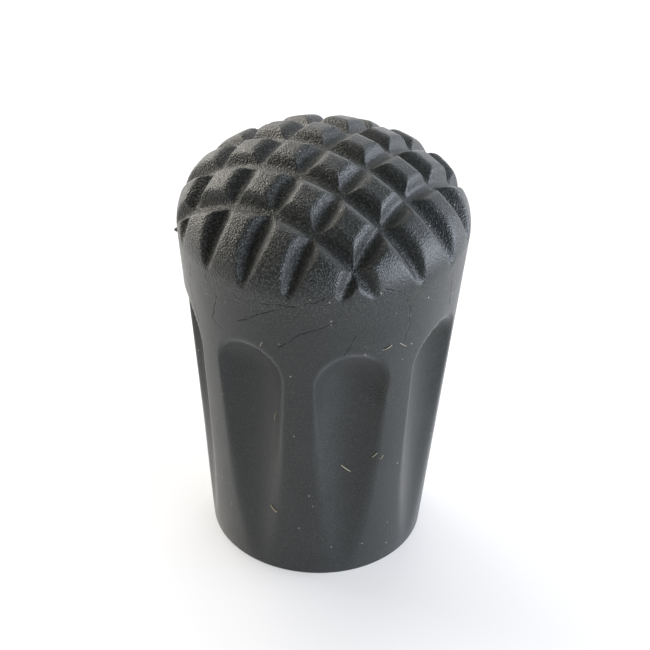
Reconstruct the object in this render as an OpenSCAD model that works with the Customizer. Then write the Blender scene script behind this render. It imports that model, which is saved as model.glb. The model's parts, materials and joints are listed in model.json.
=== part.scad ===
// Rubber tip protector for a trekking pole, moulded in one piece.
// It stands on its open mouth, with the treaded crown upwards.
// Origin: middle of the mouth, on the plane that it stands on. +Z: the axis, towards the crown.
// All lengths are in millimetres and all angles in degrees.

/* [Body] */
// Outer diameter at the mouth
mouth_d = 24; // [21:0.5:28]
// Height from the mouth to the top of the crown
height = 50; // [46:0.5:56]
// Angle at which the side wall flares out towards the crown
flare_angle = 5.5; // [4:0.1:7]
// Radius of the shoulder where the side wall turns into the crown
shoulder_r = 6; // [3:0.5:8]
// Radius of the outer edge around the mouth
mouth_edge_r = 0.3; // [0.2:0.1:1]

/* [Socket] */
// Diameter of the bore that grips the tip of the pole
socket_d = 11.5; // [9:0.1:13]
// Depth of the straight bore, from the mouth
socket_depth = 31; // [24:0.5:34]
// Width of the chamfer that leads the tip into the bore
socket_lead_in = 0.8; // [0.3:0.1:1.5]
// Diameter of the flat floor at the blind end
socket_floor_d = 6; // [4:0.5:8]

/* [Flutes] */
// Number of flutes around the side wall
flute_count = 8; // [6:1:9]
// Radius of a flute's hollow, and of its rounded upper end
flute_r = 5; // [3.5:0.1:6]
// Height of the top of a flute's arch above the mouth
flute_top = 32.7; // [26:0.1:34]
// Distance from the mouth's outer edge out to the floor of a flute
flute_floor_out = 0.1; // [0:0.05:1]

/* [Tread] */
// Radius of the crown
crown_r = 20.9; // [19:0.1:23]
// Distance between neighbouring grooves, seen from above
groove_pitch = 4.9; // [4.2:0.1:5.4]
// Number of grooves on each side of the middle groove
side_grooves = 2; // [1:1:2]
// Depth of a groove below the crown
groove_depth = 1.6; // [1:0.1:2]
// Angle between the two flanks of a groove
groove_angle = 82; // [70:1:100]

/* [Hidden] */
$fn = 96;
rubber_colour = "#3b3c3d";
// Distance by which a cutter runs past the face that it opens
overrun = 2;

mouth_r = mouth_d / 2;
flare = tan(flare_angle);
crown_z = height - crown_r;

// Middle of the mouth's edge arc, tangent to the mouth plane and to the side wall
mouth_edge_x = mouth_r + flare * mouth_edge_r - mouth_edge_r / cos(flare_angle);
mouth_edge = [mouth_edge_x, mouth_edge_r];

// Middle of the shoulder arc: shoulder_r inside the side wall, and inside the crown by as much
shoulder_line_x = mouth_r - shoulder_r / cos(flare_angle);
shoulder_reach = crown_r - shoulder_r;
shoulder_b = shoulder_line_x * flare - crown_z;
shoulder_c = pow(shoulder_line_x, 2) + pow(crown_z, 2) - pow(shoulder_reach, 2);
shoulder_a = 1 + flare * flare;
shoulder_z = (-shoulder_b + sqrt(pow(shoulder_b, 2) - shoulder_a * shoulder_c)) / shoulder_a;
shoulder = [shoulder_line_x + flare * shoulder_z, shoulder_z];
shoulder_angle = atan2(shoulder_z - crown_z, shoulder[0]);

// Direction that stands square to the side wall, outwards
wall_out = [cos(flare_angle), -sin(flare_angle)];

// Axis and ball end of the cutter that makes a flute
flute_axis_r = mouth_r + flute_floor_out + flute_r;
flute_arch_out = flute_axis_r - (mouth_r + flare * flute_top);
flute_ball_z = flute_top - sqrt(pow(flute_r, 2) - pow(flute_arch_out, 2));

// Bottom of the grooves, on a sphere around the crown's middle
groove_bottom_r = crown_r - groove_depth;

// Half section of the solid body, with its arcs at the mouth, the shoulder and the crown
module body_section() {
    crown_far = 2 * crown_r;
    polygon([
        [0, 0],
        [mouth_edge[0], 0],
        mouth_edge,
        mouth_edge + mouth_edge_r * wall_out,
        shoulder + shoulder_r * wall_out,
        shoulder,
        [0, crown_z]
    ]);
    translate(mouth_edge)
        circle(mouth_edge_r);
    translate(shoulder)
        circle(shoulder_r);
    intersection() {
        translate([0, crown_z])
            circle(crown_r);
        polygon([
            [0, crown_z],
            [crown_far * cos(shoulder_angle), crown_z + crown_far * sin(shoulder_angle)],
            [0, crown_z + crown_far]
        ]);
    }
}

// Blind bore for the tip of the pole, with a lead-in at the mouth and a tapered end
module socket() {
    socket_r = socket_d / 2;
    floor_r = socket_floor_d / 2;
    tip_h = socket_r - floor_r;
    lead_r = socket_r + socket_lead_in;
    translate([0, 0, -overrun])
        cylinder(r = socket_r, h = socket_depth + overrun);
    translate([0, 0, socket_depth])
        cylinder(r1 = socket_r, r2 = floor_r, h = tip_h);
    translate([0, 0, -overrun])
        cylinder(r1 = lead_r + overrun, r2 = socket_r, h = socket_lead_in + overrun);
}

// Cutter for one flute: a round bar along the axis with a ball end.
// The line where the revolve closes lies along the floor of the flute.
module flute() {
    translate([flute_axis_r, 0, 0])
        rotate(180)
            rotate_extrude() {
                translate([0, -overrun])
                    square([flute_r, flute_ball_z + overrun]);
                translate([0, flute_ball_z])
                    intersection() {
                        circle(flute_r);
                        square(flute_r);
                    }
            }
}

// Section of one groove: a V that points at the crown's middle and opens past the crown
module groove_section() {
    cut_h = groove_depth + overrun;
    half_w = cut_h * tan(groove_angle / 2);
    translate([groove_bottom_r, 0])
        polygon([[0, 0], [cut_h, half_w], [cut_h, -half_w]]);
}

// A set of parallel grooves over the crown, all running along X
module grooves() {
    span = 2 * (crown_r + overrun);
    translate([0, 0, crown_z])
        intersection() {
            rotate([90, 0, 0])
                rotate_extrude()
                    for (i = [-side_grooves : side_grooves])
                        rotate(asin(i * groove_pitch / groove_bottom_r))
                            groove_section();
            translate([-span / 2, -span / 2, 0])
                cube([span, span, span / 2]);
        }
}

// Revolved body with its socket and its flutes, before the tread is cut
module fluted_body() {
    flute_step = 360 / flute_count;
    difference() {
        rotate(flute_step / 2)
            rotate_extrude()
                body_section();
        socket();
        for (i = [0 : flute_count - 1])
            rotate(i * flute_step)
                flute();
    }
}

module tip_protector() {
    color(rubber_colour)
        difference() {
            difference() {
                fluted_body();
                grooves();
            }
            rotate(90)
                grooves();
        }
}

tip_protector();
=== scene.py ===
# %% [markdown]
# A rubber tip protector for a trekking pole.
# The real one is a single moulding of dark rubber: a flared wall with arched flutes, a domed tread cut
# by two sets of grooves, and a blind socket underneath. This lesson models that moulding with Blender's
# mesh operators, gives it the finish of used rubber, and lights it as a small studio would.
# The construction model is loaded first. It is the frame: it fixes the size and the place of everything.

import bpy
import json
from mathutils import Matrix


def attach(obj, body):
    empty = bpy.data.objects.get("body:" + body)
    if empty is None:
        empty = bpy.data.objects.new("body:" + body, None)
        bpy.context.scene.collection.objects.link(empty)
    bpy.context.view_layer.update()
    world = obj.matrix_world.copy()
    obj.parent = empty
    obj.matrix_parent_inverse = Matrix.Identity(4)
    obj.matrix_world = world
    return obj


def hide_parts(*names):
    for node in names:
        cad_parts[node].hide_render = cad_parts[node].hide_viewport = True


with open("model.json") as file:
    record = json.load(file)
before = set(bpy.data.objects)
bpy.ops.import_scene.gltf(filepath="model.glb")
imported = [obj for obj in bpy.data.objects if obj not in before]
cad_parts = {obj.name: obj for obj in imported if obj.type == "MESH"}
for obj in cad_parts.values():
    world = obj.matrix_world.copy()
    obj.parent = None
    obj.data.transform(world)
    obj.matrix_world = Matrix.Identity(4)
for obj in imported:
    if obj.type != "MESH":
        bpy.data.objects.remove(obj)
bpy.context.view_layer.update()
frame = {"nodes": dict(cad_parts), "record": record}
print("frame nodes:", sorted(frame["nodes"]))

# %% Modules, units and the socket's size
import json
import math

import bmesh
import bpy
import numpy as np
from mathutils import Matrix, Vector
from mathutils.bvhtree import BVHTree

MM = 0.001
scene = bpy.context.scene
scene.view_settings.view_transform = "Standard"
mounts = {mount["name"]: mount for mount in frame["record"]["mounts"]}
socket_r = mounts["pole_socket"]["dims"]["r_mm"]
print("socket radius from the record, in mm:", socket_r)

# %% [markdown]
# The camera. The photograph was taken from about 35 degrees above, a little over 25 cm away.
# A camera can be placed by eye, but then every later comparison carries that error. Here its azimuth,
# elevation, roll and focal length were fitted to the mouth, the wall and the tread, and are named values.
# Keeping its three axes as vectors lets the same numbers send a ray through any pixel of the picture.

# %% Camera
frame_px = 650
focal_px = 2265
centre_offset_px = (-3.8, -1.5)
sensor_mm = 36
view_azimuth = math.radians(31.4)
view_elevation = math.radians(35.33)
view_roll = math.radians(1.43)
view_distance = 252 * MM
view_target = Vector((0, 0, 26.4 * MM))

view_side = Vector((math.cos(view_azimuth), math.sin(view_azimuth), 0))
view_away = Vector((-math.sin(view_azimuth), math.cos(view_azimuth), 0))
view_back = Vector((0, 0, 1)) * math.sin(view_elevation) - view_away * math.cos(view_elevation)
level_up = view_back.cross(view_side)
view_right = view_side * math.cos(view_roll) + level_up * math.sin(view_roll)
view_up = level_up * math.cos(view_roll) - view_side * math.sin(view_roll)
view_place = view_target + view_back * view_distance

camera_data = bpy.data.cameras.new("photo_camera")
camera_data.sensor_width = sensor_mm
camera_data.lens = focal_px * sensor_mm / frame_px
camera_data.shift_x = -centre_offset_px[0] / frame_px
camera_data.shift_y = centre_offset_px[1] / frame_px
camera_data.clip_start = 10 * MM
camera = bpy.data.objects.new("photo_camera", camera_data)
scene.collection.objects.link(camera)
turn = Matrix((view_right, view_up, view_back)).transposed().to_4x4()
camera.matrix_world = Matrix.Translation(view_place) @ turn
scene.camera = camera
print("camera place in mm:", [round(c / MM, 1) for c in view_place], "lens:", round(camera_data.lens, 1))

# %% [markdown]
# The moulding's blank. Before the flutes and the grooves, the part is a plain revolve.
# It could be stacked from cylinders and a sphere, but then the shoulder would need joining and rounding.
# Instead one wire is drawn in the XZ plane, in millimetres: the socket, the mouth, the wall, the shoulder
# and the crown. A straight stretch extrudes the last vertex in equal steps, and a round stretch spins that
# vertex about the arc's middle. One full spin about Z then turns the wire into a closed skin.

# %% Sizes of the blank, in millimetres
mouth_r = 12.0
height = 50.0
flare = math.radians(5.5)
shoulder_r = 6.0
mouth_edge_r = 0.3
crown_r = 20.9
crown_z = height - crown_r
socket_depth = 31.0
socket_lead_in = 0.8
socket_floor_r = 3.0

slope = math.tan(flare)
wall_inset_x = mouth_r - shoulder_r / math.cos(flare)
half_b = wall_inset_x * slope - crown_z
constant = wall_inset_x ** 2 + crown_z ** 2 - (crown_r - shoulder_r) ** 2
square_share = 1 + slope ** 2
shoulder_z = (math.sqrt(half_b ** 2 - square_share * constant) - half_b) / square_share
shoulder_x = wall_inset_x + slope * shoulder_z
shoulder_angle = math.atan2(shoulder_z - crown_z, shoulder_x)
mouth_edge_x = mouth_r + slope * mouth_edge_r - mouth_edge_r / math.cos(flare)
wall_top_z = shoulder_z - shoulder_r * math.sin(flare)
print("shoulder middle at", round(shoulder_x, 2), round(shoulder_z, 2), "mm")


# %% Two pens for the wire
def draw_line(bm, start, x, z, pieces=1):
    """Extrudes the last vertex towards a place in equal steps."""
    first = start.co.copy()
    for step in range(pieces):
        start = bmesh.ops.extrude_vert_indiv(bm, verts=[start])["verts"][0]
        start.co = first.lerp(Vector((x, 0, z)), (step + 1) / pieces)
    return start


def draw_arc(bm, start, x, z, angle, pieces):
    """Spins the last vertex about a point of the XZ plane, anticlockwise."""
    made = bmesh.ops.spin(bm, geom=[start], cent=(x, 0, z), axis=(0, -1, 0), angle=angle, steps=pieces)
    return next(item for item in made["geom_last"] if isinstance(item, bmesh.types.BMVert))


# %% The wire, from the socket's floor round to the top of the crown
fluted_z = 22.0
banded_z = 34.5
spokes = 544
fluted_rows = 11
arched_rows = 26
band_rows = 18
shoulder_rows = 28
crown_rows = 82


def wall_x(z):
    return mouth_r + slope * z


bm = bmesh.new()
pen = bm.verts.new((0, 0, socket_depth + socket_r - socket_floor_r))
pen = draw_line(bm, pen, socket_floor_r, socket_depth + socket_r - socket_floor_r, 2)
pen = draw_line(bm, pen, socket_r, socket_depth)
pen = draw_line(bm, pen, socket_r, socket_lead_in, 3)
pen = draw_line(bm, pen, socket_r + socket_lead_in, 0)
pen = draw_line(bm, pen, mouth_edge_x, 0, 2)
pen = draw_arc(bm, pen, mouth_edge_x, mouth_edge_r, math.pi / 2 - flare, 4)
pen = draw_line(bm, pen, wall_x(fluted_z), fluted_z, fluted_rows)
pen = draw_line(bm, pen, wall_x(banded_z), banded_z, arched_rows)
pen = draw_line(bm, pen, wall_x(wall_top_z), wall_top_z, band_rows)
pen = draw_arc(bm, pen, shoulder_x, shoulder_z, shoulder_angle + flare, shoulder_rows)
pen = draw_arc(bm, pen, 0, crown_z, math.pi / 2 - shoulder_angle, crown_rows)
pen.co.x = 0
print("wire vertices:", len(bm.verts))

# %% One full spin
merge_mm = 1e-4
corner = math.radians(30)
bmesh.ops.spin(bm, geom=bm.verts[:] + bm.edges[:], cent=(0, 0, 0), axis=(0, 0, 1),
               angle=2 * math.pi, steps=spokes, use_merge=True)
bmesh.ops.remove_doubles(bm, verts=bm.verts, dist=merge_mm)
bmesh.ops.recalc_face_normals(bm, faces=bm.faces)
for face in bm.faces:
    face.smooth = True
for edge in bm.edges:
    edge.smooth = edge.calc_face_angle(0.0) < corner
bm.normal_update()
print("blank:", len(bm.verts), "vertices,", len(bm.faces), "faces")

# %% [markdown]
# The flutes and the tread. On the real part they are in the mould, with edges that are soft like soap.
# Boolean cuts followed by a bevel could make them, but where grooves cross on a dome a bevel fails easily.
# Here each vertex of the blank is pressed in along its own normal until it lies on the cut form. A flute is
# the inside of a round bar with a ball end. A groove is a V that points at the middle of the crown and is cut
# off by a flat floor. The grooves are shallower, and their lips rounder, towards the top, where the tread is
# worn. Where two faces meet, a soft maximum of their distances rounds the edge as the mould does.

# %% Sizes of the flutes and the grooves, in millimetres
flute_count = 8
flute_r = 5.0
flute_axis_r = 17.1
flute_ball_z = 28.1
flute_edge_heights = (0, 4, 12, 27)
flute_edge_blends = (0.03, 0.35, 0.7, 0.25)
groove_pitch = 4.9
side_grooves = 2
groove_depth_heights = (41, 48)
groove_depths = (1.85, 1.6)
groove_floor_depths = (1.52, 1.15)
groove_half_angle = math.radians(40.5)
groove_floor_blend = 0.25
groove_lip_heights = (38, 42, 46)
groove_lip_blends = (0.12, 0.26, 0.5)
groove_pitch_depth = 1.6
groove_pitch_r = crown_r - groove_pitch_depth
groove_lowest_z = crown_z + 4
deepest_press = 3.5


# %% Distances to the cut forms
def soft_max(a, b, blend):
    """The larger of two distances, with the corner between them rounded off."""
    overlap = np.maximum(blend - np.abs(a - b), 0)
    return np.maximum(a, b) + overlap ** 2 / (4 * blend)


def depth_in_flutes(points):
    """How far each point lies inside the nearest flute's bar, in millimetres."""
    step = 2 * math.pi / flute_count
    angle = np.arctan2(points[:, 1], points[:, 0])
    off = angle - np.round(angle / step) * step
    reach = np.hypot(points[:, 0], points[:, 1])
    above_ball = np.maximum(points[:, 2] - flute_ball_z, 0)
    away = np.sqrt((reach * np.cos(off) - flute_axis_r) ** 2 + (reach * np.sin(off)) ** 2 + above_ball ** 2)
    return flute_r - away


def depth_in_grooves(points):
    """How far each point lies inside the nearest groove, between its flanks and above its floor."""
    from_middle = points - np.array((0, 0, crown_z))
    reach = np.linalg.norm(from_middle, axis=1)
    bottom_r = crown_r - np.interp(points[:, 2], groove_depth_heights, groove_depths)
    above_floor = reach - crown_r + np.interp(points[:, 2], groove_depth_heights, groove_floor_depths)
    depth = np.full(len(points), -np.inf)
    for axis in (0, 1):
        lean = np.arcsin(from_middle[:, axis] / reach)
        for i in range(-side_grooves, side_grooves + 1):
            off = lean - math.asin(i * groove_pitch / groove_pitch_r)
            rise = reach * np.cos(off) - bottom_r
            aside = np.abs(reach * np.sin(off))
            inside = rise * math.sin(groove_half_angle) - aside * math.cos(groove_half_angle)
            depth = np.maximum(depth, -soft_max(-inside, -above_floor, groove_floor_blend))
    return np.where(points[:, 2] > groove_lowest_z, depth, -np.inf)


# %% Press every outer vertex in until it lies on the cut form
blank = np.array([v.co for v in bm.verts])
normals = np.array([v.normal for v in bm.verts])
beside_socket = np.hypot(blank[:, 0], blank[:, 1]) > mouth_edge_x
outer = np.flatnonzero(beside_socket | (blank[:, 2] > banded_z))
start = blank[outer]
inward = -normals[outer]


def stand_off(press):
    """Distance outside the finished form, of each vertex pressed in by so much."""
    points = start + inward * press[:, None]
    edge_blend = np.interp(points[:, 2], flute_edge_heights, flute_edge_blends)
    fluted = soft_max(-press, depth_in_flutes(points), edge_blend)
    lip_blend = np.interp(points[:, 2], groove_lip_heights, groove_lip_blends)
    return soft_max(fluted, np.maximum(depth_in_grooves(points), -deepest_press), lip_blend)


halvings = 24
shallow = np.zeros(len(outer))
deep = np.full(len(outer), deepest_press)
for halving in range(halvings):
    middle = (shallow + deep) / 2
    proud = stand_off(middle) > 0
    shallow = np.where(proud, middle, shallow)
    deep = np.where(proud, deep, middle)
pressed = start + inward * deep[:, None]
bm.verts.ensure_lookup_table()
for index, place in zip(outer, pressed):
    bm.verts[index].co = place
print("deepest press in mm:", round(float(deep.max()), 2))

# %% The moulding as an object, in place of the construction solid
bmesh.ops.scale(bm, vec=(MM, MM, MM), verts=bm.verts)
bm.normal_update()
skin = BVHTree.FromBMesh(bm)
moulding_mesh = bpy.data.meshes.new("rubber_moulding")
bm.to_mesh(moulding_mesh)
bm.free()
moulding = bpy.data.objects.new("rubber_moulding", moulding_mesh)
scene.collection.objects.link(moulding)
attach(moulding, "root")
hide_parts("tip_protector")
moulding_mesh.calc_loop_triangles()
print("moulding:", len(moulding_mesh.loop_triangles), "triangles")

# %% [markdown]
# The flash pip. Where the mould's halves meet, a little rubber squeezes out, and on this part one pip is
# left on the shoulder. It could be painted, but it shows in the outline, so it has to be a shape.
# A small ball, stretched outwards and half sunk in the skin, is enough at this size.

# %% Flash pip
pip_out = Vector((-0.85, -0.52, 0)).normalized()
pip_z = 38.4
pip_reach = 15.72
pip_size = (0.45, 0.3, 0.24)

pip_bm = bmesh.new()
bmesh.ops.create_icosphere(pip_bm, subdivisions=3, radius=1)
bmesh.ops.scale(pip_bm, vec=Vector(pip_size) * MM, verts=pip_bm.verts)
bmesh.ops.rotate(pip_bm, cent=(0, 0, 0), matrix=Matrix.Rotation(math.atan2(pip_out.y, pip_out.x), 3, "Z"),
                 verts=pip_bm.verts)
bmesh.ops.translate(pip_bm, vec=(pip_out * pip_reach + Vector((0, 0, pip_z))) * MM, verts=pip_bm.verts)
for face in pip_bm.faces:
    face.smooth = True
pip_mesh = bpy.data.meshes.new("flash_pip")
pip_bm.to_mesh(pip_mesh)
pip_bm.free()
pip = bpy.data.objects.new("flash_pip", pip_mesh)
scene.collection.objects.link(pip)
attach(pip, "root")
print("flash pip:", len(pip_mesh.polygons), "faces")

# %% [markdown]
# Finding places on the skin. The cracks and the lint are marks of use, each at its own place.
# Their places could be guessed in three dimensions. Sending a ray from the camera through a pixel of the
# photograph finds the point of the skin that shows there, so each mark lies on the rubber from every side.


# %% From a pixel to the skin
def on_skin(x_px, y_px):
    """The point of the skin that shows at a pixel of the photograph, and the skin's normal there."""
    across = (x_px - frame_px / 2 - centre_offset_px[0]) / focal_px
    down = (y_px - frame_px / 2 - centre_offset_px[1]) / focal_px
    towards = (view_right * across - view_up * down - view_back).normalized()
    place, normal, index, distance = skin.ray_cast(view_place, towards)
    return place, normal


crack_routes_px = (
    ((234, 322), (248, 318), (262, 313), (275, 310), (294, 306), (308, 304), (322, 300), (334, 291)),
    ((262, 303), (280, 305), (297, 308)),
    ((268, 354), (282, 345), (300, 334), (312, 331), (327, 326), (337, 322)),
    ((385, 289), (398, 291), (406, 298), (410, 308), (409, 325), (404, 341)),
    ((204, 274), (211, 286), (217, 296), (213, 318), (225, 330)),
    ((191, 264), (190, 285), (195, 305), (199, 320)),
    ((451, 262), (452, 280), (449, 304)),
    ((343, 355), (351, 345), (356, 336)),
)
crack_pieces = []
for route in crack_routes_px:
    places = [on_skin(*pixel)[0] for pixel in route]
    crack_pieces += [pair for pair in zip(places, places[1:]) if None not in pair]
print("crack pieces:", len(crack_pieces))

# %% [markdown]
# Lint and dust. Rubber is tacky, so fibres and grains cling to it. They could be specks in the colour, but
# a fibre stands off the skin and catches the light, so each is a small shape. A fibre is a thin ring of
# vertices spun along a flat arc from one end to the other, and a grain is a tiny ball.

# %% Fibres
fibre_ends_px = (
    ((277, 412), (275, 420), 0.05),
    ((341, 465), (350, 471), 0.06),
    ((271, 505), (277, 512), 0.09),
    ((383, 350), (392, 345), 0.05),
    ((400, 343), (406, 346), 0.04),
    ((380, 459), (383, 455), 0.05),
    ((372, 457), (377, 453), 0.05),
    ((262, 342), (260, 346), 0.04),
)
fibre_half_bow = math.radians(20)

lint_bm = bmesh.new()
for first_px, last_px, thickness_r in fibre_ends_px:
    first, normal = on_skin(*first_px)
    last = on_skin(*last_px)[0]
    chord = last - first
    bow_axis = chord.cross(normal).normalized()
    outward = bow_axis.cross(chord).normalized()
    bow_r = chord.length / 2 / math.sin(fibre_half_bow)
    bow_middle = (first + last) / 2 - outward * bow_r * math.cos(fibre_half_bow)
    heading = chord.normalized() * math.cos(fibre_half_bow) + outward * math.sin(fibre_half_bow)
    ring_turn = Matrix.Translation(first) @ heading.to_track_quat("Z", "Y").to_matrix().to_4x4()
    ring = bmesh.ops.create_circle(lint_bm, segments=6, radius=thickness_r * MM, matrix=ring_turn)["verts"]
    ring_edges = list({edge for vert in ring for edge in vert.link_edges})
    bmesh.ops.spin(lint_bm, geom=ring + ring_edges, cent=bow_middle, axis=-bow_axis,
                   angle=2 * fibre_half_bow, steps=6)
bmesh.ops.holes_fill(lint_bm, edges=[edge for edge in lint_bm.edges if edge.is_boundary])
print("fibres:", len(fibre_ends_px), "with", len(lint_bm.faces), "faces")

# %% Grains of dust
grains_px = ((231, 255), (192, 289), (215, 301), (225, 302), (310, 300), (331, 325), (396, 313),
             (410, 315), (402, 359), (313, 506), (387, 522), (262, 190), (437, 211))
grain_r = 0.07 * MM

for pixel in grains_px:
    place = on_skin(*pixel)[0]
    bmesh.ops.create_icosphere(lint_bm, subdivisions=1, radius=grain_r, matrix=Matrix.Translation(place))
bmesh.ops.recalc_face_normals(lint_bm, faces=lint_bm.faces)
lint_mesh = bpy.data.meshes.new("lint")
lint_bm.to_mesh(lint_mesh)
lint_bm.free()
lint = bpy.data.objects.new("lint", lint_mesh)
scene.collection.objects.link(lint)
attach(lint, "root")
print("lint:", len(lint_mesh.polygons), "faces")

# %% [markdown]
# The finishes. Blender works in linear light, while colours are picked as sRGB hex values, so one function
# converts them. A second small function adds a node with its settings and links, which keeps a material
# readable as a list of steps from the pattern to the shader.


# %% Colour and node helpers
def linear(hex_colour):
    """An sRGB hex value as linear red, green, blue and an alpha of 1."""
    channels = [int(hex_colour[i:i + 2], 16) / 255 for i in (1, 3, 5)]
    return [c / 12.92 if c <= 0.04045 else ((c + 0.055) / 1.055) ** 2.4 for c in channels] + [1]


def add(tree, kind, inputs=None, **settings):
    """Adds a node, sets its properties, and links or sets its inputs."""
    node = tree.nodes.new(kind)
    for name, value in settings.items():
        setattr(node, name, value)
    for socket, value in (inputs or {}).items():
        if isinstance(value, bpy.types.NodeSocket):
            tree.links.new(value, node.inputs[socket])
        else:
            node.inputs[socket].default_value = value
    return node


def per_mm(size_mm):
    """The texture scale that gives features of a size in millimetres, on coordinates in metres."""
    return 1 / (size_mm * MM)


# %% [markdown]
# Moulded black rubber, carbon filled and cured in a steel mould. The eye sees a very dark, slightly cool
# grey with a satin sheen that brightens towards the edges. One flat colour would look like plastic, because
# old rubber is never even: a grey bloom rises in soft clouds, and handling leaves a fine pale mottle. Two
# noises at those sizes give both. The mottle is strongest on the tread. It is also painted stronger on the
# side that faces the left panel, which lightens that side as painted light from that panel, and thinner on
# the other side.

# %% Rubber: bloom and mottle
bloom_mm = 7
mottle_mm = 0.22
tread_from_z = 36 * MM
tread_full_z = 43 * MM
# Painted light: the pale mottle is painted stronger on the side that faces the left panel, and thinner
# towards the smooth side.
smooth_side_azimuth = math.radians(31.4)
smooth_side = Vector((math.cos(smooth_side_azimuth), math.sin(smooth_side_azimuth), 0))
painted_light_full_until = -6 * MM
smooth_from = 8 * MM
smooth_grain = 0.35

rubber = bpy.data.materials.new("moulded_rubber")
rubber.use_nodes = True
tree = rubber.node_tree
tree.nodes.clear()
point = add(tree, "ShaderNodeTexCoord").outputs["Object"]
point_z = add(tree, "ShaderNodeSeparateXYZ", {0: point}).outputs["Z"]

bloom = add(tree, "ShaderNodeTexNoise",
            {"Vector": point, "Scale": per_mm(bloom_mm), "Detail": 4.0, "Roughness": 0.6})
bloom_share = add(tree, "ShaderNodeMapRange",
                  {"Value": bloom.outputs["Fac"], "From Min": 0.35, "From Max": 0.75})
bloomed = add(tree, "ShaderNodeMix",
              {0: bloom_share.outputs[0], 6: linear("#131615"), 7: linear("#1d201f")}, data_type="RGBA")

on_tread = add(tree, "ShaderNodeMapRange",
               {"Value": point_z, "From Min": tread_from_z, "From Max": tread_full_z})
# Painted light: this share of pale mottle, and of stipple, runs from full on the left-panel side down to
# smooth_grain on the smooth side.
to_side = add(tree, "ShaderNodeVectorMath", {0: point, 1: smooth_side}, operation="DOT_PRODUCT")
side_grain_and_painted_light = add(tree, "ShaderNodeMapRange",
           {"Value": to_side.outputs["Value"], "From Min": painted_light_full_until, "From Max": smooth_from,
            "To Min": 1.0, "To Max": smooth_grain})
grain_and_painted_light_share = add(tree, "ShaderNodeMath", {0: on_tread.outputs[0], 1: side_grain_and_painted_light.outputs[0]}, operation="MULTIPLY")
mottle = add(tree, "ShaderNodeTexNoise",
             {"Vector": point, "Scale": per_mm(mottle_mm), "Detail": 1.0, "Roughness": 0.7})
mottle_most = add(tree, "ShaderNodeMapRange",
                  {"Value": grain_and_painted_light_share.outputs[0], "To Min": 0.18, "To Max": 0.85})
mottle_share = add(tree, "ShaderNodeMapRange",
                   {"Value": mottle.outputs["Fac"], "From Min": 0.48, "From Max": 0.68,
                    "To Max": mottle_most.outputs[0]})
body_colour = add(tree, "ShaderNodeMix",
                  {0: mottle_share.outputs[0], 6: bloomed.outputs[2], 7: linear("#4b4c46")}, data_type="RGBA")
print("bloom and mottle nodes:", len(tree.nodes))

# %% [markdown]
# Fine dust. Besides the grains that are shapes, the rubber holds pale specks too small to model. Scattered
# balls would cost many faces. A Voronoi pattern puts one point in each cell, a small radius around it makes a
# dot, and the cell's random colour keeps only some of them.

# %% Rubber: dust
dust_cell_mm = 1.3
dust_skipped = 0.72
dust_cover = 0.5

dust = add(tree, "ShaderNodeTexVoronoi", {"Vector": point, "Scale": per_mm(dust_cell_mm)})
dust_dot = add(tree, "ShaderNodeMapRange",
               {"Value": dust.outputs["Distance"], "From Min": 0.05, "From Max": 0.09,
                "To Min": 1.0, "To Max": 0.0})
dust_pick = add(tree, "ShaderNodeSeparateColor", {0: dust.outputs["Color"]})
dust_here = add(tree, "ShaderNodeMath", {0: dust_pick.outputs[0], 1: dust_skipped}, operation="GREATER_THAN")
dust_share = add(tree, "ShaderNodeMath", {0: dust_dot.outputs[0], 1: dust_here.outputs[0]},
                 operation="MULTIPLY")
dusty_share = add(tree, "ShaderNodeMath", {0: dust_share.outputs[0], 1: dust_cover}, operation="MULTIPLY")
dusty = add(tree, "ShaderNodeMix",
            {0: dusty_share.outputs[0], 6: body_colour.outputs[2], 7: linear("#a8a59b")}, data_type="RGBA")
print("nodes with dust:", len(tree.nodes))

# %% [markdown]
# Hairline cracks, where the skin has aged. Cut into the mesh they would need far finer faces than the rest.
# Each crack is a chain of short straight pieces instead, and the material measures how far a point lies from
# the nearest one, so the lines stay sharp at any distance. A noise makes them wander a little. Real cracks of
# this kind are finer than a pixel, so they are drawn about 0.2 mm wide, as coarse as they need to show.
# The cracks are real, but their near-black colour is painted shade, for the shade inside each narrow gap.

# %% Rubber: cracks
wander_mm = 1.5
wander_reach = 0.5 * MM
crack_core = 0.04 * MM
crack_edge = 0.12 * MM
crack_cover = 0.9

wander = add(tree, "ShaderNodeTexNoise", {"Vector": point, "Scale": per_mm(wander_mm), "Detail": 2.0})
wander_out = add(tree, "ShaderNodeVectorMath", {0: wander.outputs["Color"], 1: (0.5, 0.5, 0.5)},
                 operation="SUBTRACT")
wander_by = add(tree, "ShaderNodeVectorMath", {0: wander_out.outputs[0], "Scale": wander_reach},
                operation="SCALE")
moved = add(tree, "ShaderNodeVectorMath", {0: point, 1: wander_by.outputs[0]}, operation="ADD")
crack_point = moved.outputs[0]
crack_gap = None
for first, last in crack_pieces:
    along = last - first
    offset = add(tree, "ShaderNodeVectorMath", {0: crack_point, 1: first}, operation="SUBTRACT")
    share = add(tree, "ShaderNodeVectorMath", {0: offset.outputs[0], 1: along / along.length_squared},
                operation="DOT_PRODUCT")
    held = add(tree, "ShaderNodeClamp", {0: share.outputs["Value"]})
    foot = add(tree, "ShaderNodeVectorMath", {0: along, "Scale": held.outputs[0]}, operation="SCALE")
    gap = add(tree, "ShaderNodeVectorMath", {0: offset.outputs[0], 1: foot.outputs[0]}, operation="DISTANCE")
    gap_here = gap.outputs["Value"]
    if crack_gap is not None:
        gap_here = add(tree, "ShaderNodeMath", {0: crack_gap, 1: gap_here}, operation="MINIMUM").outputs[0]
    crack_gap = gap_here
crack_share = add(tree, "ShaderNodeMapRange",
                  {"Value": crack_gap, "From Min": crack_core, "From Max": crack_edge,
                   "To Min": crack_cover, "To Max": 0.0})
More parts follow.
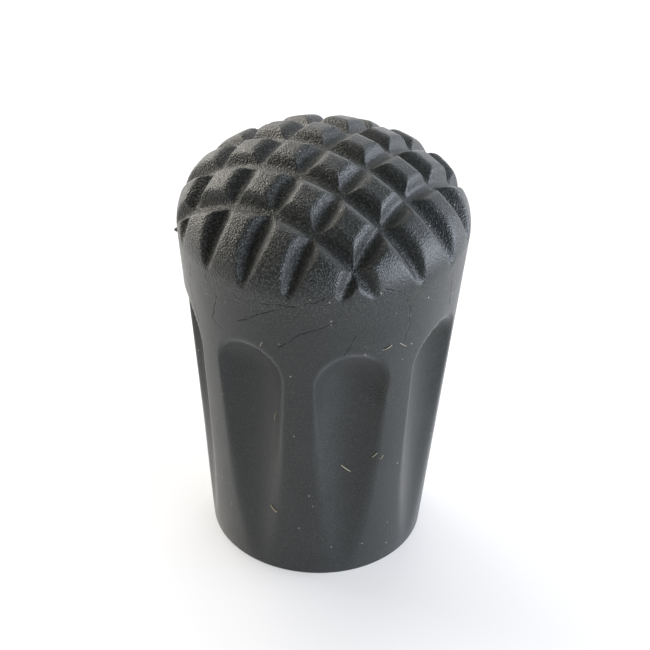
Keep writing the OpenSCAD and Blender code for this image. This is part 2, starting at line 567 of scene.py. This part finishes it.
# Painted shade: the crack lines are painted near black, for the shade inside the gap.
crack_shade_painted = add(tree, "ShaderNodeMix",
              {0: crack_share.outputs[0], 6: dusty.outputs[2], 7: linear("#0c0c0c")}, data_type="RGBA")
print("nodes with cracks:", len(tree.nodes))

# %% [markdown]
# The skin's relief. The mould gives the tread a leathery stipple, and one flute is scuffed. Both are far
# smaller than the faces, so they are bump. The real grain is finer than the picture can show, and a grain
# under about 0.15 mm averages out within a pixel, so it is drawn at 0.17 mm, as coarse as it needs to show.
# The cracks sink a little as well, and are matt inside.

# %% Rubber: stipple, scuff and shader
stipple_mm = 0.17
stipple_depth = 0.13 * MM
wall_stipple = 0.2
scuff_px = (375, 394)
scuff_core = 1.0 * MM
scuff_edge = 2.8 * MM
scuff_stipple = 0.9
crack_depth = 0.05 * MM

stipple = add(tree, "ShaderNodeTexNoise", {"Vector": point, "Scale": per_mm(stipple_mm), "Detail": 0.3})
stipple_strength = add(tree, "ShaderNodeMapRange",
                       {"Value": grain_and_painted_light_share.outputs[0], "To Min": wall_stipple, "To Max": 1.0})
scuff_gap = add(tree, "ShaderNodeVectorMath", {0: point, 1: on_skin(*scuff_px)[0]}, operation="DISTANCE")
scuff_share = add(tree, "ShaderNodeMapRange",
                  {"Value": scuff_gap.outputs["Value"], "From Min": scuff_core, "From Max": scuff_edge,
                   "To Min": scuff_stipple, "To Max": 0.0})
stippled_by = add(tree, "ShaderNodeMath", {0: stipple_strength.outputs[0], 1: scuff_share.outputs[0]},
                  operation="MAXIMUM")
stippled = add(tree, "ShaderNodeBump",
               {"Strength": stippled_by.outputs[0], "Distance": stipple_depth,
                "Height": stipple.outputs["Fac"]})
relief = add(tree, "ShaderNodeBump",
             {"Strength": 0.6, "Distance": crack_depth, "Height": crack_share.outputs[0],
              "Normal": stippled.outputs["Normal"]}, invert=True)
satin = add(tree, "ShaderNodeMapRange",
            {"Value": bloom.outputs["Fac"], "From Min": 0.3, "From Max": 0.8,
             "To Min": 0.38, "To Max": 0.5})
matt_cracks = add(tree, "ShaderNodeMath", {0: satin.outputs[0], 1: crack_share.outputs[0]},
                  operation="MAXIMUM")
shader = add(tree, "ShaderNodeBsdfPrincipled",
             {"Base Color": crack_shade_painted.outputs[2], "IOR": 1.43, "Sheen Weight": 0.16, "Sheen Roughness": 0.4,
              "Roughness": matt_cracks.outputs[0], "Normal": relief.outputs["Normal"]})
add(tree, "ShaderNodeOutputMaterial", {"Surface": shader.outputs[0]})
for piece in (moulding, pip):
    piece.data.materials.append(rubber)
print("rubber nodes:", len(tree.nodes))

# %% [markdown]
# Lint is undyed cotton and straw: matt, pale and a little yellow. Each fibre could have a material of its
# own, but a broad noise already varies the colour from fibre to fibre.

# %% Lint fibre
lint_shade_mm = 6
lint_finish = bpy.data.materials.new("cotton_lint")
lint_finish.use_nodes = True
tree = lint_finish.node_tree
tree.nodes.clear()
point = add(tree, "ShaderNodeTexCoord").outputs["Object"]
shade = add(tree, "ShaderNodeTexNoise", {"Vector": point, "Scale": per_mm(lint_shade_mm), "Detail": 1.0})
lint_colour = add(tree, "ShaderNodeMix",
                  {0: shade.outputs["Fac"], 6: linear("#736f64"), 7: linear("#9c9176")}, data_type="RGBA")
shader = add(tree, "ShaderNodeBsdfPrincipled", {"Base Color": lint_colour.outputs[2], "Roughness": 0.8})
add(tree, "ShaderNodeOutputMaterial", {"Surface": shader.outputs[0]})
lint_mesh.materials.append(lint_finish)
print("lint nodes:", len(tree.nodes))

# %% [markdown]
# The stage. The part stands on white paper that runs out of the picture. The floor is a plain grid, and it
# lies a hair below the mouth so that the two faces don't fight for the same pixels.

# %% Floor
floor_half = 1.5
floor_gap = 0.02 * MM
floor_bm = bmesh.new()
bmesh.ops.create_grid(floor_bm, x_segments=1, y_segments=1, size=floor_half)
bmesh.ops.translate(floor_bm, vec=(0, 0, -floor_gap), verts=floor_bm.verts)
floor_mesh = bpy.data.meshes.new("floor")
floor_bm.to_mesh(floor_mesh)
floor_bm.free()
floor = bpy.data.objects.new("floor", floor_mesh)
scene.collection.objects.link(floor)
print("floor:", 2 * floor_half, "m square")

# %% [markdown]
# White paper, matt and uncoated. A white sheet could be lit until it clips, but then the rubber would be lit
# too strongly as well. Instead, where the camera or a reflection looks at the paper, half of its white comes
# from a glow and half from the light, so it looks white and still keeps the part's shadow.

# %% White paper
paper_glow = 0.46

paper = bpy.data.materials.new("white_paper")
paper.use_nodes = True
tree = paper.node_tree
tree.nodes.clear()
matt = add(tree, "ShaderNodeBsdfDiffuse", {"Color": linear("#fafafa")})
half_matt = add(tree, "ShaderNodeBsdfDiffuse", {"Color": linear("#a6a6a6")})
glow = add(tree, "ShaderNodeEmission", {"Color": linear("#ffffff"), "Strength": paper_glow})
bright = add(tree, "ShaderNodeAddShader", {0: half_matt.outputs[0], 1: glow.outputs[0]})
path = add(tree, "ShaderNodeLightPath")
mirrored = add(tree, "ShaderNodeMath",
               {0: path.outputs["Is Glossy Ray"], 1: path.outputs["Is Transmission Ray"]},
               operation="MAXIMUM")
looked_at = add(tree, "ShaderNodeMath", {0: path.outputs["Is Camera Ray"], 1: mirrored.outputs[0]},
                operation="MAXIMUM")
shader = add(tree, "ShaderNodeMixShader", {0: looked_at.outputs[0], 1: matt.outputs[0], 2: bright.outputs[0]})
add(tree, "ShaderNodeOutputMaterial", {"Surface": shader.outputs[0]})
floor_mesh.materials.append(paper)
print("paper nodes:", len(tree.nodes))

# %% [markdown]
# The light of the room. The photograph has a bright sweep behind and beside the part and a dim room in front,
# which is why the rubber is dark in the middle and pale towards its edges. Lamps alone would need many panels
# for that. A world whose brightness grows from front to back gives it in one step. It is dimmer overhead, so
# that the tops of the tread blocks stay dark, and it is warm on the left and cool on the right.

# %% World
front_strength = 0.06
back_strength = 1.25
overhead_share = 0.25

world = bpy.data.worlds.new("studio")
scene.world = world
world.use_nodes = True
tree = world.node_tree
tree.nodes.clear()
direction = add(tree, "ShaderNodeTexCoord").outputs["Generated"]
behind = add(tree, "ShaderNodeVectorMath", {0: direction, 1: view_away}, operation="DOT_PRODUCT")
aside = add(tree, "ShaderNodeVectorMath", {0: direction, 1: view_side}, operation="DOT_PRODUCT")
up = add(tree, "ShaderNodeSeparateXYZ", {0: direction}).outputs["Z"]
sweep = add(tree, "ShaderNodeMapRange",
            {"Value": behind.outputs["Value"], "From Min": -0.7, "From Max": 0.4,
             "To Min": front_strength, "To Max": back_strength})
dimming = add(tree, "ShaderNodeMapRange",
              {"Value": up, "From Min": 0.55, "From Max": 1.0, "To Min": 1.0, "To Max": overhead_share})
strength = add(tree, "ShaderNodeMath", {0: sweep.outputs[0], 1: dimming.outputs[0]}, operation="MULTIPLY")
side_share = add(tree, "ShaderNodeMapRange",
                 {"Value": aside.outputs["Value"], "From Min": -0.8, "From Max": 0.8})
tint = add(tree, "ShaderNodeMix",
           {0: side_share.outputs[0], 6: linear("#fff6ea"), 7: linear("#eaf1ff")}, data_type="RGBA")
background = add(tree, "ShaderNodeBackground", {"Color": tint.outputs[2], "Strength": strength.outputs[0]})
add(tree, "ShaderNodeOutputWorld", {"Surface": background.outputs[0]})
print("world nodes:", len(tree.nodes))

# %% [markdown]
# The panels. Two soft panels, low on the right and higher on the left, give the sheen on the sides of the
# tread blocks. A third one behind throws the soft shadow that lies in front of the part. A real one would be
# kept out of the reflections with a black flag, and here it is left out of glossy rays for the same reason.

# %% Soft panels
panels = (
    {"name": "right_panel", "heading": view_side - view_away * 0.36 + Vector((0, 0, 0.2)),
     "distance": 0.45, "size": (0.8, 0.2), "watts": 6.2, "colour": "#e9f0ff", "in_reflections": True},
    {"name": "left_panel", "heading": view_side * -0.8 + view_away * 0.65 + Vector((0, 0, 0.45)),
     "distance": 0.45, "size": (0.4, 0.3), "watts": 2.7, "colour": "#fff9f0", "in_reflections": True},
    {"name": "back_panel", "heading": view_away * 0.55 + Vector((0, 0, 0.85)),
     "distance": 0.6, "size": (0.4, 0.4), "watts": 2.6, "colour": "#ffffff", "in_reflections": False},
)
for panel in panels:
    lamp_data = bpy.data.lights.new(panel["name"], "AREA")
    lamp_data.shape = "RECTANGLE"
    lamp_data.size, lamp_data.size_y = panel["size"]
    lamp_data.energy = panel["watts"]
    lamp_data.color = linear(panel["colour"])[:3]
    lamp = bpy.data.objects.new(panel["name"], lamp_data)
    scene.collection.objects.link(lamp)
    lamp.visible_glossy = panel["in_reflections"]
    lamp.location = view_target + panel["heading"].normalized() * panel["distance"]
    lamp.rotation_euler = panel["heading"].to_track_quat("Z", "Y").to_euler()
print("panels:", len(panels))
